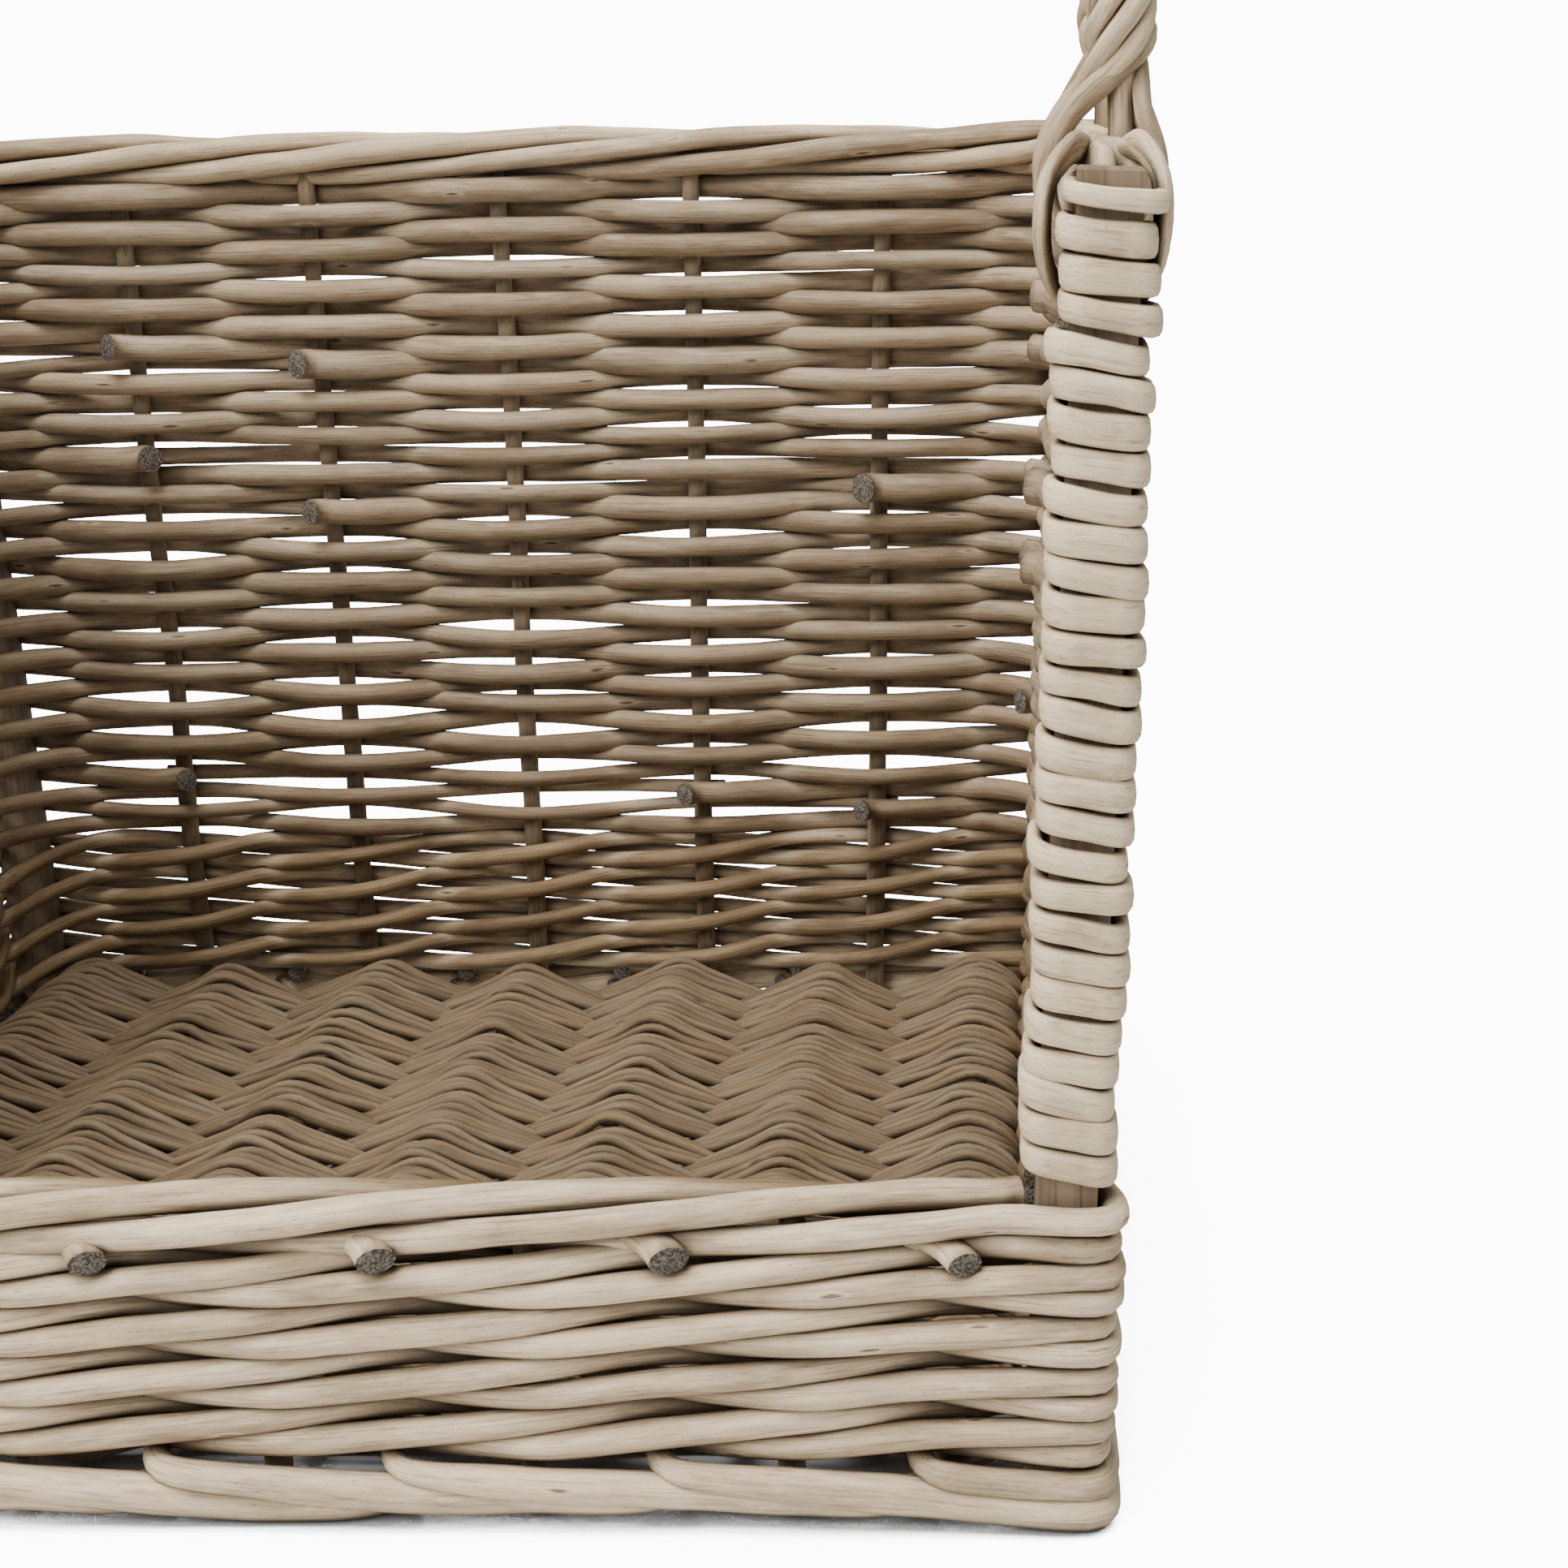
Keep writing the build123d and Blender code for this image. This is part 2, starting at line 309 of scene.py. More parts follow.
    def build(self, name, material, replaced):
        """Write the mesh, give it its materials, and tie it to the frame."""
        points = np.vstack(self.points)
        quads = np.vstack(self.faces)
        mesh = bpy.data.meshes.new(name)
        mesh.from_pydata(points.tolist(), [], quads.tolist() + [list(f) for f in self.cut_faces])
        grain = mesh.attributes.new("grain", "FLOAT_VECTOR", "POINT")
        grain.data.foreach_set("vector", np.vstack(self.grain).ravel())
        shades = {
            "tone": np.concatenate(self.tone),
            "bend": np.concatenate(self.bend),
            "inside": insideness(points),
        }
        for shade_name, values in shades.items():
            mesh.attributes.new(shade_name, "FLOAT", "POINT").data.foreach_set("value", values)
        mesh.materials.append(material)
        mesh.materials.append(cut_end)
        slots = np.zeros(len(quads) + len(self.cut_faces), int)
        slots[len(quads) :] = 1
        mesh.polygons.foreach_set("material_index", slots)
        mesh.polygons.foreach_set("use_smooth", slots == 0)
        mesh.update()
        piece = bpy.data.objects.new(name, mesh)
        bpy.context.scene.collection.objects.link(piece)
        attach(piece, "root")
        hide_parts(*replaced)


# ---------------------------------------------------------------- materials


class Shader:
    """A short way to lay out the nodes of one material."""

    def __init__(self, name):
        self.material = bpy.data.materials.new(name)
        self.material.use_nodes = True
        self.tree = self.material.node_tree
        self.surface = self.tree.nodes["Principled BSDF"]

    def node(self, kind, **settings):
        made = self.tree.nodes.new(kind)
        for key, value in settings.items():
            setattr(made, key, value)
        return made

    def link(self, source, target):
        self.tree.links.new(source, target)

    def attribute(self, name, output):
        return self.node("ShaderNodeAttribute", attribute_name=name).outputs[output]

    def scaled(self, vector, scale):
        mapping = self.node("ShaderNodeMapping")
        mapping.inputs["Scale"].default_value = scale
        self.link(vector, mapping.inputs["Vector"])
        return mapping.outputs["Vector"]

    def noise(self, vector, detail=4.0, roughness=0.55):
        noise = self.node("ShaderNodeTexNoise")
        noise.inputs["Scale"].default_value = 1.0
        noise.inputs["Detail"].default_value = detail
        noise.inputs["Roughness"].default_value = roughness
        self.link(vector, noise.inputs["Vector"])
        return noise.outputs["Fac"]

    def band(self, value, low, high, bottom=0.0, top=1.0):
        """Stretch the part of a value between low and high."""
        spread = self.node("ShaderNodeMapRange")
        spread.inputs["From Min"].default_value = low
        spread.inputs["From Max"].default_value = high
        spread.inputs["To Min"].default_value = bottom
        spread.inputs["To Max"].default_value = top
        self.link(value, spread.inputs["Value"])
        return spread.outputs["Result"]

    def calculate(self, operation, first, second):
        """Combine two values, the second a link or a plain number."""
        result = self.node("ShaderNodeMath", operation=operation)
        self.link(first, result.inputs[0])
        if isinstance(second, (int, float)):
            result.inputs[1].default_value = second
        else:
            self.link(second, result.inputs[1])
        return result.outputs["Value"]

    def add(self, first, second):
        return self.calculate("ADD", first, second)

    def subtract(self, first, second):
        return self.calculate("SUBTRACT", first, second)

    def multiply(self, first, second):
        return self.calculate("MULTIPLY", first, second)

    def mix(self, share, first, second, blend="MIX"):
        """Mix two colours, each a link or a tuple; a colour mix has its own sockets."""
        mixed = self.node("ShaderNodeMix", data_type="RGBA", blend_type=blend)
        first_socket, second_socket = mixed.inputs[6], mixed.inputs[7]
        for socket, value in ((first_socket, first), (second_socket, second)):
            if isinstance(value, tuple):
                socket.default_value = (*value, 1)
            else:
                self.link(value, socket)
        self.link(share, mixed.inputs["Factor"])
        return mixed.outputs[2]

    def bump(self, height, distance, strength, after=None):
        bump = self.node("ShaderNodeBump")
        bump.inputs["Distance"].default_value = distance
        bump.inputs["Strength"].default_value = strength
        self.link(height, bump.inputs["Height"])
        if after is not None:
            self.link(after, bump.inputs["Normal"])
        return bump.outputs["Normal"]

    def finish(self, colour, roughness, normal, specular=0.3):
        self.link(colour, self.surface.inputs["Base Color"])
        self.link(roughness, self.surface.inputs["Roughness"])
        self.link(normal, self.surface.inputs["Normal"])
        self.surface.inputs["Specular IOR Level"].default_value = specular
        return self.material


def willow(name, pale, middle, brown, streak=0.75, dimming=1.0, golden=0.15):
    """Whitewashed willow: long fine grain, brown where the wash is thin, bud marks.

    The scale of each pattern counts its cells to the metre along, up and across a rod.
    """
    golden_brown = (0.50, 0.30, 0.13)
    # dust colour, which also paints shade deep inside the basket
    dust_and_depth_shade = (0.35, 0.30, 0.235)
    # dark colour for the painted shade in the crevices between rods
    crevice_shade_colour = tuple(channel * 0.3 for channel in brown)
    shader = Shader(name)
    grain = shader.attribute("grain", "Vector")
    tone = shader.attribute("tone", "Fac")
    bend = shader.attribute("bend", "Fac")
    inside = shader.attribute("inside", "Fac")

    # the whitewash covers some patches and some whole rods better than others
    patches = shader.noise(shader.scaled(grain, (30, 170, 170)), detail=6, roughness=0.65)
    wash = shader.band(shader.add(patches, shader.multiply(tone, 0.24)), 0.44, 0.76)
    colour = shader.mix(wash, middle, pale)
    is_golden = shader.band(tone, 0.7, 0.9, 0.0, golden)
    colour = shader.mix(is_golden, colour, golden_brown)

    # long fibres, finer dark specks and broad stains
    fibres = shader.noise(shader.scaled(grain, (45, 1500, 1500)), detail=6, roughness=0.7)
    colour = shader.mix(shader.band(fibres, 0.5, 0.72, 0.0, streak), colour, brown)
    specks = shader.noise(shader.scaled(grain, (520, 2300, 2300)), detail=2)
    colour = shader.mix(shader.band(specks, 0.66, 0.74, 0.0, 0.65), colour, brown)
    stains = shader.noise(shader.scaled(grain, (14, 60, 60)), detail=4, roughness=0.7)
    colour = shader.mix(shader.band(stains, 0.55, 0.7, 0.0, 0.6), colour, brown)

    # bud marks: a ragged dark eye with a pale lip
    buds = shader.node("ShaderNodeTexVoronoi", feature="F1")
    buds.inputs["Scale"].default_value = 1.0
    buds.inputs["Randomness"].default_value = 1.0
    shader.link(shader.scaled(grain, (34, 150, 150)), buds.inputs["Vector"])
    from_bud = shader.add(buds.outputs["Distance"], shader.multiply(fibres, 0.3))
    eye = shader.band(from_bud, 0.2, 0.26, 1.0, 0.0)
    colour = shader.mix(shader.multiply(eye, 0.85), colour, brown)
    lip = shader.subtract(shader.band(from_bud, 0.26, 0.33, 1.0, 0.0), eye)
    colour = shader.mix(shader.multiply(lip, 0.7), colour, pale)

    # sharp bends crease the bark: pale ridges between dark cracks; the pale is partly painted highlight on
    # the ridges, the dark partly painted shade in the creases
    creases = shader.noise(shader.scaled(grain, (260, 620, 620)), detail=5, roughness=0.7)
    ridge_relief_and_highlight = shader.multiply(bend, creases)
    colour = shader.mix(shader.band(ridge_relief_and_highlight, 0.2, 0.45, 0.0, 0.6), colour, pale)
    cracks_and_crease_shade = shader.multiply(bend, shader.band(creases, 0.32, 0.44, 1.0, 0.0))
    colour = shader.mix(shader.multiply(cracks_and_crease_shade, 0.45), colour, brown)

    # painted shade deep inside the basket, darker towards the bottom, partly also less wash and more dust
    # there; painted shade in the crevices where rods lie close together
    colour = shader.mix(shader.multiply(inside, dimming), colour, dust_and_depth_shade, "MULTIPLY")
    # painted shade: darker where other rods lie close round a point
    closeness = shader.node("ShaderNodeAmbientOcclusion", samples=6)
    closeness.inputs["Distance"].default_value = 7 * MM
    crevice_shade_mask = shader.band(closeness.outputs["AO"], 0.18, 0.86, 0.9, 0.0)
    colour = shader.mix(crevice_shade_mask, colour, crevice_shade_colour)

    normal = shader.bump(fibres, 0.45 * MM, 0.6)
    normal = shader.bump(specks, 0.15 * MM, 0.45, normal)
    normal = shader.bump(ridge_relief_and_highlight, 1.2 * MM, 0.7, normal)
    roughness = shader.band(fibres, 0.3, 0.7, 0.45, 0.8)
    return shader.finish(colour, roughness, normal)


def weathered_stick(name):
    """Sawn square stick with fine upright grain, weathered grey-brown."""
    shader = Shader(name)
    place_in_part = shader.node("ShaderNodeTexCoord").outputs["Object"]
    grain = shader.noise(shader.scaled(place_in_part, (900, 900, 22)), detail=6, roughness=0.7)
    broad = shader.noise(shader.scaled(place_in_part, (120, 120, 9)), detail=3)
    colour = shader.mix(shader.band(broad, 0.35, 0.65), (0.19, 0.13, 0.08), (0.32, 0.24, 0.16))
    colour = shader.mix(shader.band(grain, 0.5, 0.72, 0.0, 0.8), colour, (0.10, 0.062, 0.035))
    normal = shader.bump(grain, 0.5 * MM, 0.7)
    return shader.finish(colour, shader.band(grain, 0.3, 0.7, 0.65, 0.9), normal, 0.25)


def cut_wood(name):
    """Cut rod ends: grey, speckled, dry."""
    shader = Shader(name)
    place_in_part = shader.node("ShaderNodeTexCoord").outputs["Object"]
    speckle = shader.noise(shader.scaled(place_in_part, (1500, 1500, 1500)), detail=4)
    colour = shader.mix(shader.band(speckle, 0.4, 0.65), (0.05, 0.04, 0.03), (0.23, 0.20, 0.165))
    normal = shader.bump(speckle, 0.3 * MM, 0.6)
    return shader.finish(colour, shader.band(speckle, 0.3, 0.7, 0.8, 0.95), normal, 0.2)


# inner_willow and floor_willow are darker copies of the same whitewashed willow: partly painted shade of
# the basket's inside walls and floor, partly a browner willow there
outer_willow = willow(
    "outer_willow",
    pale=(0.92, 0.73, 0.485),
    middle=(0.46, 0.34, 0.21),
    brown=(0.155, 0.095, 0.05),
    dimming=1.3,
)
inner_willow = willow(
    "inner_willow",
    pale=(0.66, 0.52, 0.355),
    middle=(0.36, 0.26, 0.155),
    brown=(0.13, 0.08, 0.042),
)
floor_willow = willow(
    "floor_willow",
    pale=(0.51, 0.41, 0.28),
    middle=(0.33, 0.245, 0.145),
    brown=(0.17, 0.105, 0.055),
    dimming=0.88,
    golden=0.35,
)
band_willow = willow(
    "band_willow",
    pale=(1.0, 0.81, 0.535),
    middle=(0.66, 0.505, 0.325),
    brown=(0.27, 0.175, 0.095),
    streak=0.9,
    dimming=0.0,
)
stick_wood = weathered_stick("stick_wood")
cut_end = cut_wood("cut_end")


# ---------------------------------------------------------------- floor


def build_floor():
    """Stout ribs from front to back, with bundles of thin rods slewed over and under."""
    sticks_low, sticks_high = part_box("floor_sticks")
    level = (floor_low + floor_high) / 2
    rib_radius = (sticks_high[2] - sticks_low[2]) / 2
    rib_count = 7
    rib_places = np.linspace(sticks_low[0] + rib_radius, sticks_high[0] - rib_radius, rib_count)
    # the floor dips a little where it meets the back wall
    back_dip = 1.5 * MM
    dip_start = floor_back - 60 * MM
    ribs = RodBundle()
    for x in rib_places:
        line = smooth_line([(x, floor_front, level), (x + MM, 0, level), (x, dip_start, level),
                            (x, floor_back, level - back_dip)])
        line[:, 0] += wander(line[:, 1], 0.6 * MM, 0.2)
        ribs.add(line, rib_radius * 0.95)
    ribs.build("floor_ribs", inner_willow, ["floor_sticks"])

    weave = RodBundle()
    hump = rib_radius + floor_radius * 1.9
    edge = half_width(level) - stake_radius - 1.6 * wale_radius
    bundles = 30
    front_edge, back_edge = floor_front - 1.5 * MM, floor_back - 1.5 * MM
    bundle_depth = (back_edge - front_edge) / bundles
    slope_run = 0.24 * (rib_places[1] - rib_places[0])
    slope_share = 0.54  # height left at the end of that run
    over_spread, under_spread = 2.1, 0.8  # a bundle fans out over a rib and closes under it
    over_lift = 1.4
    for bundle in range(bundles):
        middle = front_edge + (bundle + 0.5) * bundle_depth
        height = level - np.interp(middle, [dip_start, back_edge], [0, back_dip])
        rods = rng.choice([4, 4, 5])
        for rod in range(rods):
            lean = rod - (rods - 1) / 2
            y_between = middle + lean * bundle_depth / rods
            side = 1 if bundle % 2 else -1
            points = [(-edge, y_between, height + side * hump * 0.25)]
            for x in rib_places:
                is_over = side > 0
                spread = bundle_depth / rods * (over_spread if is_over else under_spread)
                lift = side * hump * rng.uniform(0.9, 1.16) * (over_lift if is_over else 1.0)
                y = middle + lean * spread + rng.uniform(-0.9, 0.9) * MM
                y_beside = 0.7 * y + 0.3 * y_between
                points.append((x - slope_run, y_beside, height + lift * slope_share))
                points.append((x + rng.uniform(-2.2, 2.2) * MM, y, height + lift))
                points.append((x + slope_run, y_beside, height + lift * slope_share))
                side = -side
            points.append((edge, y_between, height - side * hump * 0.25))
            line = smooth_line(points)
            radius = floor_radius * rng.uniform(0.86, 1.12)
            weave.add(line, radius * np.linspace(1.06, 0.92, len(line)))
    weave.build("floor_weave", floor_willow, ["floor_weavers"])


# ---------------------------------------------------------------- stakes


def build_stakes():
    """Upright rods that the walls are woven on."""
    for wall, name in enumerate(("front", "right", "back", "left")):
        bundle = RodBundle()
        top = front_border_low if wall == 0 else rim_low
        for index in range(1, bays):
            station = wall * bays + index
            heights = np.linspace(3 * MM, top + 8 * MM, 6)
            sway = rng.uniform(-0.8, 0.8, 6) * MM
            points = [place(station, 0, z) for z in heights]
            along = outward_of(wall)[[1, 0, 2]]
            points = [point + along * shift for point, shift in zip(points, sway)]
            line = smooth_line(points)
            bundle.add(line, stake_radius * np.linspace(1.04, 0.9, len(line)), up=outward_of(wall))
        bundle.build(f"stakes_{name}_rods", inner_willow, [f"stakes_{name}"])


# ---------------------------------------------------------------- foot border


def build_foot_border():
    """Each stake's end turns out at the foot, runs along and dives under the next."""
    low = foot_radius + 0.3 * MM

    def lift(station):
        # the foot rests on the ground at the corners and halfway along each side
        most = 2.6 * MM
        return most * abs(math.sin(math.pi * station / (bays / 2)))

    for wall, name in enumerate(("front", "right", "back", "left")):
        bundle = RodBundle()
        for index in range(bays):
            station = wall * bays + index
            radius = foot_radius * rng.uniform(0.95, 1.06)
            shift = station + rng.uniform(-0.05, 0.05)
            course = {
                shift + 0.48: (-1.0 * MM, foot_top - 0.5 * MM),
                shift + 0.5: (5.0 * MM, foot_top - 0.8 * MM),
                shift + 0.56: (9.8 * MM, foot_top - 1.2 * MM),
                station + 1.0: (11.0 * MM, foot_top - 3.8 * MM),
                shift + 1.5: (10.2 * MM, low + 1.9 * MM + lift(shift + 1.5)),
                station + 2.0: (8.8 * MM, low + 0.3 * MM + lift(station + 2.0)),
                shift + 2.4: (7.8 * MM, low + lift(shift + 2.4)),
                shift + 2.56: (2.0 * MM, low + lift(shift + 2.56)),
            }
            points = route(course, lambda s: course[s][0], lambda s: course[s][1], post_half + radius * 0.9)
            line = smooth_line(points)
            swelling = np.interp(np.linspace(0, 1, len(line)), [0, 0.12, 0.4, 1], [0.7, 0.8, 1.0, 1.04])
            bundle.add(line, radius * swelling)
        replaced = [f"foot_border_{name}_outer", f"foot_border_{name}_inner"]
        bundle.build(f"foot_border_{name}", outer_willow, replaced)


# ---------------------------------------------------------------- waling


def build_waling():
    """Rounds of three rods; each passes outside two uprights and inside the third.

    The thick ends of the rods are at the front, so they get thinner towards the back.
    """
    bundle = RodBundle()
    rounds = 4
    strands = 3
    pitch = (wale_high - wale_low) / rounds
    climb = 9.2 * MM
    reach = stake_radius + wale_radius
    # over a stroke of three stations: distance out from the wall, and share of the climb
    outs = {0: -reach, 0.5: 0, 1: reach, 1.5: reach * 1.12, 2: reach, 2.5: 0.1 * reach}
    climbs = {0: 0.05, 0.5: -0.36, 1: -0.33, 1.5: 0.0, 2: 0.32, 2.5: 0.5}
    stations = np.arange(0, wall_count * bays, 0.5)
    for course in range(rounds):
        level = wale_low + (course + 0.5) * pitch
        for strand in range(strands):
            jitter = dict(zip(stations, rng.uniform(-0.5, 0.5, len(stations)) * MM))

            def stroke(station):
                return round((station - strand) % strands * 2) / 2 % strands

            def out_at(station):
                return outs[stroke(station)] + 0.3 * jitter[station] + nudge_out

            def height_at(station):
                return level + climbs[stroke(station)] * climb + jitter[station]

            corner_reach = post_half + wale_radius + rng.uniform(-0.9, 0.7) * MM
            points = route(stations, out_at, height_at, corner_reach)
            radius = wale_radius * rng.uniform(0.93, 1.08)
            line = smooth_line(points, closed=True)
            thinning = np.interp(line[:, 1], [front_plane, back_plane], [1.0, 0.84])
            bundle.add(line, radius * thinning, closed=True)
    walls = ("front", "back", "left", "right")
    bundle.build("waling", outer_willow, [f"wale_{wall}" for wall in walls])


# ---------------------------------------------------------------- randing


def weaver_end(station, heading, kind, level, reach):
    """Last points of a weaver that ends at a stake.

    Its thick butt pokes inwards in front of the stake, its thin tip hides behind it, and
    at the open edge of a panel it runs up to the wrapped post.
    """
    if kind == "butt":
        return [
            place(station - 0.12 * heading, -reach, level),
            place(station + 0.02 * heading, -reach - 1.4 * MM, level + 0.6 * MM),
            place(station + 0.08 * heading, -reach - 6.0 * MM, level + 1.0 * MM),
        ]
    if kind == "tip":
        return [place(station + 0.12 * heading, 0.7 * reach, level - 0.4 * MM)]
    out = rng.choice([-1, 1]) * reach
    return [place(station - 0.27 * heading, out, level)]


def build_randing():
    """Single rods from one front post round the back to the other, row over row."""
    join_chance = 0.085  # at each stake where a rod could end
    bundle = RodBundle()
    rows = 36
    pitch = (weave_high - weave_low) / rows
    first, last = bays, wall_count * bays
    reach = stake_radius + weaver_radius
    thickness = {"butt": 1.24, "tip": 0.8, "edge": 1.0}
    for row in range(rows):
        level = weave_low + (row + 0.5) * pitch
        inside_parity = row % 2
        thinness = np.interp(row, [0, 15], [0.84, 1.04])  # the lower rows are of thinner rods
        joins = [station for station in range(first + 2, last - 1)
                 if station % bays and station % 2 == inside_parity and rng.random() < join_chance]
        ends = [first, *joins, last]
        left_butts = rng.random() < 0.7
        for start, stop in zip(ends[:-1], ends[1:]):
            start_kind = "edge" if start == first else ("tip" if left_butts else "butt")
            stop_kind = "edge" if stop == last else ("butt" if left_butts else "tip")
            points = weaver_end(start, -1, start_kind, level, reach)[::-1]
            for station in range(start + 1, stop):
                out = -reach if station % 2 == inside_parity else reach
                height = level + rng.uniform(-1.25, 1.25) * MM
                if station % bays:
                    points.append(place(station, out * rng.uniform(0.96, 1.1), height))
                else:
                    corner_out = math.copysign(post_half + weaver_radius, out)
                    points += corner_turn(station // bays, corner_out, height)
            points += weaver_end(stop, 1, stop_kind, level, reach)
            line = smooth_line(points)
            taper = np.linspace(thickness[start_kind], thickness[stop_kind], len(line))
            radius = weaver_radius * thinness * rng.uniform(0.94, 1.1)
            bundle.add(line, radius * taper, flat=(1.07, 0.98))
    bundle.build("randing", inner_willow, ["weave_back", "weave_left", "weave_right"])


# ---------------------------------------------------------------- roped borders


def roped_border(bundle, first, last, low, high, open_ends):
    """Four strands twisted round each other along the top of the walls.

    Walked anticlockwise, so an outer face rises as it goes on, and two strands pass the
    last corner one above the other. At open ends the strands bend down behind the front
    posts; otherwise they wrap the posts or stop beside them.
    """
    strands = 4
    turn_bays = 5
    depth = stake_radius + border_radius
    middle = (low + high) / 2 - 0.7 * MM
    climb = (high - low) / 2 - border_radius + 1.6 * MM
    margin = 0.5 if open_ends else 0.25
    stations = np.arange(first + margin, last - margin + 0.05, 0.25)
    for strand in range(strands):
        lean = rng.uniform(-0.2, 0.2)

        def angle(station):
            turns = (station - last) / turn_bays + (strand + 0.5) / strands
            return 2 * math.pi * turns + lean

        def out_at(station):
            return depth * math.cos(angle(station)) + nudge_out

        def height_at(station):
            return middle + climb * math.sin(angle(station))

        def bend_down(end, heading):
            out, height = out_at(end), height_at(end)
            return [
                place(end - 0.32 * heading, out, height - 0.5 * MM),
                place(end - 0.26 * heading, out * 0.9, height - 6 * MM),
                place(end - 0.28 * heading, out * 0.5, low - 8 * MM),
            ]

        points = []
        if open_ends:
            points += bend_down(first, -1)[::-1]
        elif out_at(first) > 0:
            points.append(place(first + 0.02, depth + 2 * MM, height_at(first)))
        reach = post_half + border_radius + rng.uniform(-0.8, 0.6) * MM
        points += route(stations, out_at, height_at, reach)
        if open_ends:
            points += bend_down(last, 1)
        elif out_at(last) > 0:
            points += corner_turn(last // bays, reach, height_at(last))
            points.append(place(last + 0.3, 5 * MM, height_at(last) - 1 * MM))
        else:
            points.append(place(last - 0.17, out_at(last), height_at(last) + 1 * MM))
        line = smooth_line(points)
        line[:, 2] += wander(line[:, 0] + line[:, 1], 0.35 * MM, 0.1)
        bundle.add(line, border_radius * rng.uniform(0.93, 1.08))


def border_tips(bundle):
    """Cut ends of stakes that poke out from under the front border."""
    for station in np.arange(bays - 0.32, 0.3, -1.09):
        spot = station + rng.uniform(-0.06, 0.06)
        low = front_border_low + rng.uniform(0.0, 1.4) * MM
        tip = [
            place(spot - 0.30, -3.0 * MM, low + 2.6 * MM),
            place(spot - 0.13, 1.8 * MM, low + 1.4 * MM),
            place(spot - 0.05, 6.4 * MM, low + 0.6 * MM),
            place(spot, 12.0 * MM, low - 0.2 * MM),
        ]
        bundle.add(smooth_line(tip), 4.3 * MM * rng.uniform(0.85, 1.15), flat=(0.74, 1.05))


def build_borders():
    front = RodBundle()
    roped_border(front, 0, bays, front_border_low, front_border_high, open_ends=False)
    border_tips(front)
    front.build("front_border", outer_willow,
                ["border_front_outer", "border_front_inner"])
    rim = RodBundle()
    roped_border(rim, bays, wall_count * bays, rim_low, rim_high, open_ends=True)
    replaced = [f"border_{wall}_{face}" for wall in ("back", "left", "right")
                for face in ("outer", "inner")]
    rim.build("rim_border", outer_willow, replaced)


def loop_point(corner, side, strand, back, out, drop):
    """A point of a rim loop: behind the middle of a front post, beside it, under the rim."""
    height = rim_high - drop - strand * 1.2 * MM
    middle = corner_place(corner, height)
    faces_out = side * middle[0] > 0
    aside = out * (0.83 if faces_out else 1.0) - strand * 0.7 * MM
    return middle + np.array([side * aside, back + strand * 3.4 * MM, 0])


def build_rim_tails():
    """Split rim rods that part round the top of a front post and tuck into the panel."""
    spots = [  # behind the post, beside it and under the rim, in millimetres
        (40, 4.5, 4),
        (22, 5.5, 1),
        (10.5, 8.5, 0.5),
        (4, 12.6, 6),
        (1, 13.7, 15),
        (3, 12.6, 23),
        (9, 9.0, 30),
    ]
    for corner, name in ((1, "right"), (0, "left")):
        bundle = RodBundle()
        for side in (-1, 1):
            for strand in (0, 1):
                points = [
                    loop_point(corner, side, strand, back * MM, out * MM, drop * MM)
                    for back, out, drop in spots
                ]
                bundle.add(smooth_line(points), 2.3 * MM, flat=(0.75, 1.3), up=(side, 0, 0.2))
        bundle.build(f"rim_loops_{name}", outer_willow, [f"rim_tails_{name}"])


# ---------------------------------------------------------------- wrapped front posts


def build_post_wraps():
    """Weavers flattened round a front post, a little askew, with the stick between."""
    count = 28
    pitch = (wraps_high - wraps_low) / count
    samples = 88
    turn = np.linspace(0, 2 * math.pi, samples, endpoint=False)
    squareness = 4.4  # a circle has 2
    powers = np.abs(np.cos(turn)) ** squareness + np.abs(np.sin(turn)) ** squareness
    outline = powers ** (-1 / squareness)
    across = outline * np.cos(turn)
    back = outline * np.sin(turn)
    for corner, name, side in ((1, "right", 1), (0, "left", -1)):
        bundle = RodBundle()
        for index in range(count):
            is_top = index == count - 1
            level = wraps_low + (index + 0.5) * pitch + rng.uniform(-0.35, 0.35) * MM
            tall = pitch / 2 * rng.uniform(0.88, 1.08)
            thick = 1.95 * MM * rng.uniform(0.88, 1.12)
            if is_top:  # a thin one, with bare stick above and below it
                tall *= 0.64
                level -= 0.2 * MM
            half = post_half + thick
            slope = side * math.tan(math.radians(rng.uniform(7, 15)))
            line = np.tile(corner_place(corner, level), (samples, 1))
            line[:, 0] += half * across + rng.uniform(-1.2, 1.0) * MM
            line[:, 1] += half * back
            line[:, 2] -= slope * half * across
            line[:, 2] += rng.uniform(0.1, 0.45) * MM * np.sin(turn * 2 + rng.uniform(0, 6))
            swell = 1 - 0.06 * np.cos(4 * turn) + 0.08 * np.sin(turn + rng.uniform(0, 6))
            bundle.add(line, tall * swell, closed=True, flat=(1.0, thick / tall), square=0.74, uneven=0.04)
        bundle.build(f"post_bands_{name}", band_willow, [f"post_wraps_{name}"])


# ---------------------------------------------------------------- handles


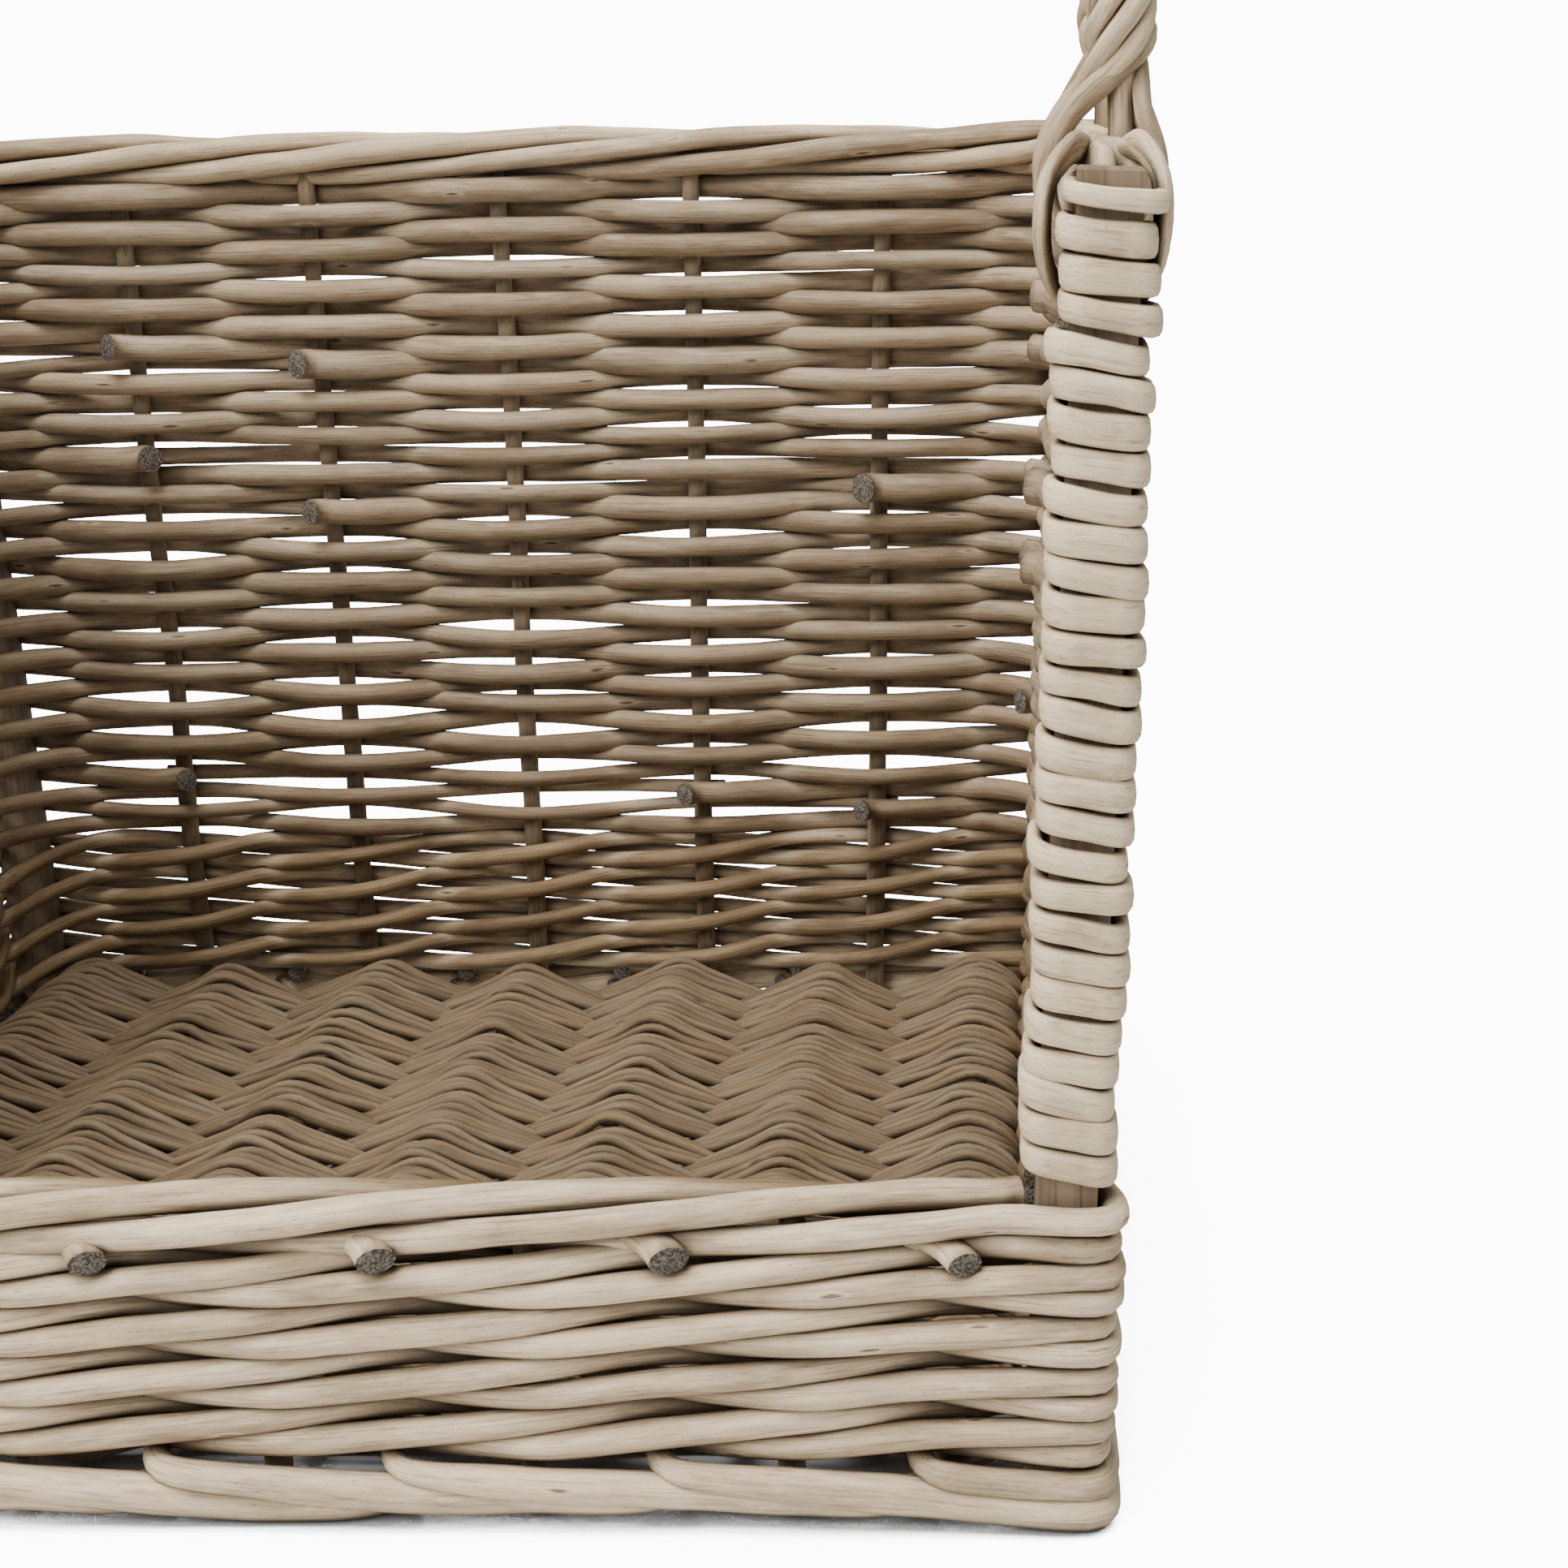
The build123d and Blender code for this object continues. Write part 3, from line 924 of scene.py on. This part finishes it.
def build_handles():
    """Six rods twisted round a bow; at each foot three go down each side of the rim."""
    rods = 6
    twist_length = 52 * MM
    coil = 5.8 * MM
    core_radius = 3.4 * MM
    leg_spread = 6.2 * MM
    bow_shift, leg_shift = 5.5 * MM, 2.6 * MM  # the handles stand a little out from the panels
    for name, x_sign in (("left", -1), ("right", 1)):
        bow_low, bow_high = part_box(f"handle_bow_{name}")
        bow_radius = (bow_high[0] - bow_low[0]) / 2
        x = (bow_low[0] + bow_high[0]) / 2 + x_sign * bow_shift
        span = (bow_high[1] - bow_low[1]) / 2 - bow_radius
        top = bow_high[2] - bow_radius
        fork = rim_high + 17 * MM
        shoulder = top - 46 * MM
        arch = [(x, -span, fork), (x, -span, shoulder), (x, -0.87 * span, top - 20 * MM),
                (x, -0.6 * span, top - 5 * MM), (x, 0, top), (x, 0.6 * span, top - 5 * MM),
                (x, 0.87 * span, top - 20 * MM), (x, span, shoulder), (x, span, fork)]
        core = RodBundle()
        core_line = smooth_line([(x, -span, rim_low), *arch, (x, span, rim_low)])
        core.add(core_line, core_radius, up=(1, 0, 0))
        core.build(f"handle_core_{name}", outer_willow, [f"handle_bow_{name}"])

        line = smooth_line(arch, step=1.6 * MM)
        steps = np.linalg.norm(np.diff(line, axis=0), axis=1)
        tangent = np.gradient(line, axis=0)
        tangent /= np.linalg.norm(tangent, axis=1)[:, None]
        sideways = np.array([1.0, 0, 0])
        outwards = np.cross(tangent, sideways)
        turns = np.concatenate([[0], np.cumsum(steps)]) / twist_length * 2 * math.pi
        sixth = 2 * math.pi / rods
        turns *= round(turns[-1] / sixth) * sixth / turns[-1]

        def leg(angle, y, side):
            # the rods of a leg lie side by side in the order in which they leave the twist
            y -= math.cos(angle) * leg_spread
            places_down = ((9.6, 4), (14.0, -7), (13.2, -17), (7.5, -25))
            points = []
            closeness = 0.82 if side == x_sign else 1.04
            for out, rise in places_down:
                height = rim_high + rise * MM
                shift = side * out * closeness * MM + x_sign * leg_shift
                points.append((x_sign * half_width(height) + shift, y, height))
            return points

        rope = RodBundle()
        for rod in range(rods):
            angle = turns + (rod + 0.5) * sixth
            loose = coil * (1 + wander(turns, 0.09, 9.0))[:, None]
            helix = line + loose * (
                np.cos(angle)[:, None] * sideways + np.sin(angle)[:, None] * outwards)
            front_leg = leg(angle[0], -span, math.copysign(1, math.sin(angle[0])))[::-1]
            back_leg = leg(angle[-1], span, math.copysign(1, -math.sin(angle[-1])))
            # every fourth point of the twist, and none close to the legs, keeps the join smooth
            full = smooth_line([*front_leg, *helix[3:-3:4], *back_leg], step=1.8 * MM)
            rope.add(full, handle_rod_radius * rng.uniform(0.86, 1.08), up=twist_up(full))
        replaced = [f"handle_rope_{name}", f"handle_legs_{name}"]
        rope.build(f"handle_roping_{name}", outer_willow, replaced)


def twist_up(line):
    """Upright directions carried along a line without twist, for a rod that coils."""
    tangent = np.gradient(line, axis=0)
    tangent /= np.linalg.norm(tangent, axis=1)[:, None]
    up = np.array([1.0, 0, 0]) - tangent[0][0] * tangent[0]
    ups = []
    for direction in tangent:
        up = up - np.dot(up, direction) * direction
        up /= np.linalg.norm(up)
        ups.append(up)
    return np.array(ups)


# ---------------------------------------------------------------- posts, stage, light


def finish_posts():
    """The sawn corner sticks keep their CAD shape."""
    for name in ("post_front_left", "post_front_right", "post_back_left", "post_back_right"):
        stick = bpy.data.objects[name]
        if not stick.material_slots:
            stick.data.materials.append(stick_wood)
        for slot in stick.material_slots:
            slot.material = stick_wood


def build_stage():
    """A pale plain floor."""
    mesh = bpy.data.meshes.new("stage_floor")
    reach = 30.0
    corners = [(-reach, -reach, 0), (reach, -reach, 0), (reach, reach, 0), (-reach, reach, 0)]
    mesh.from_pydata(corners, [], [(0, 1, 2, 3)])
    shader = Shader("stage_paper")
    paper_grey, paper_roughness = 0.6, 0.9
    shader.surface.inputs["Base Color"].default_value = (paper_grey, paper_grey, paper_grey, 1)
    shader.surface.inputs["Roughness"].default_value = paper_roughness
    shader.surface.inputs["Emission Color"].default_value = (1, 1, 1, 1)
    # the paper is blown out to white except where the basket covers it
    shade = shader.node("ShaderNodeAmbientOcclusion", samples=8)
    shade.inputs["Distance"].default_value = 0.2
    glow = shader.band(shade.outputs["AO"], 0.36, 0.54, 0.0, backdrop_white)
    seen = shader.node("ShaderNodeLightPath").outputs["Is Camera Ray"]
    shader.link(shader.multiply(seen, glow), shader.surface.inputs["Emission Strength"])
    mesh.materials.append(shader.material)
    stage = bpy.data.objects.new("stage_floor", mesh)
    bpy.context.scene.collection.objects.link(stage)


def area_light(name, spot, target, size, power):
    light = bpy.data.lights.new(name, "AREA")
    light.shape = "DISK"
    light.size = size
    light.energy = power
    lamp = bpy.data.objects.new(name, light)
    lamp.location = spot
    lamp.rotation_euler = (Vector(target) - Vector(spot)).to_track_quat("-Z", "Y").to_euler()
    bpy.context.scene.collection.objects.link(lamp)


def build_light():
    """A white studio with a broad soft light overhead and a weaker one at the front."""
    sky_strength = 0.52
    world = bpy.data.worlds.new("studio")
    bpy.context.scene.world = world
    world.use_nodes = True
    sky = world.node_tree.nodes["Background"]
    sky.inputs["Color"].default_value = (1, 1, 1, 1)
    # the backdrop looks white to the camera and lights the basket more gently
    seen = world.node_tree.nodes.new("ShaderNodeLightPath").outputs["Is Camera Ray"]
    strength = world.node_tree.nodes.new("ShaderNodeMapRange")
    strength.inputs["To Min"].default_value = sky_strength
    strength.inputs["To Max"].default_value = backdrop_white
    world.node_tree.links.new(seen, strength.inputs["Value"])
    world.node_tree.links.new(strength.outputs["Result"], sky.inputs["Strength"])
    area_light("overhead", spot=(-0.35, -0.45, 2.1), target=(0.05, 0, 0.1), size=1.2, power=57)
    area_light("front", spot=(-0.8, -1.5, 1.3), target=(0.08, -0.1, 0.12), size=1.0, power=24)


def build_camera():
    """The camera stands in front of the right front post, a little above the rim."""
    data = bpy.data.cameras.new("camera")
    data.lens = 61.8
    data.sensor_width = 36
    data.clip_start = 0.01
    data.shift_x = -0.08
    camera = bpy.data.objects.new("camera", data)
    eye = Vector((half_width(rim_high) - 17 * MM, front_plane - 550 * MM, rim_high + 11.5 * MM))
    pitch = math.radians(-14.5)
    yaw = math.radians(2.65)
    roll = math.radians(-0.98)
    turn = Matrix.Rotation(yaw, 4, "Z") @ Matrix.Rotation(math.pi / 2 + pitch, 4, "X")
    camera.matrix_world = Matrix.Translation(eye) @ turn @ Matrix.Rotation(roll, 4, "Z")
    bpy.context.scene.collection.objects.link(camera)
    bpy.context.scene.camera = camera


build_floor()
build_stakes()
build_foot_border()
build_waling()
build_randing()
build_borders()
build_rim_tails()
build_post_wraps()
build_handles()
finish_posts()
build_stage()
build_light()
build_camera()
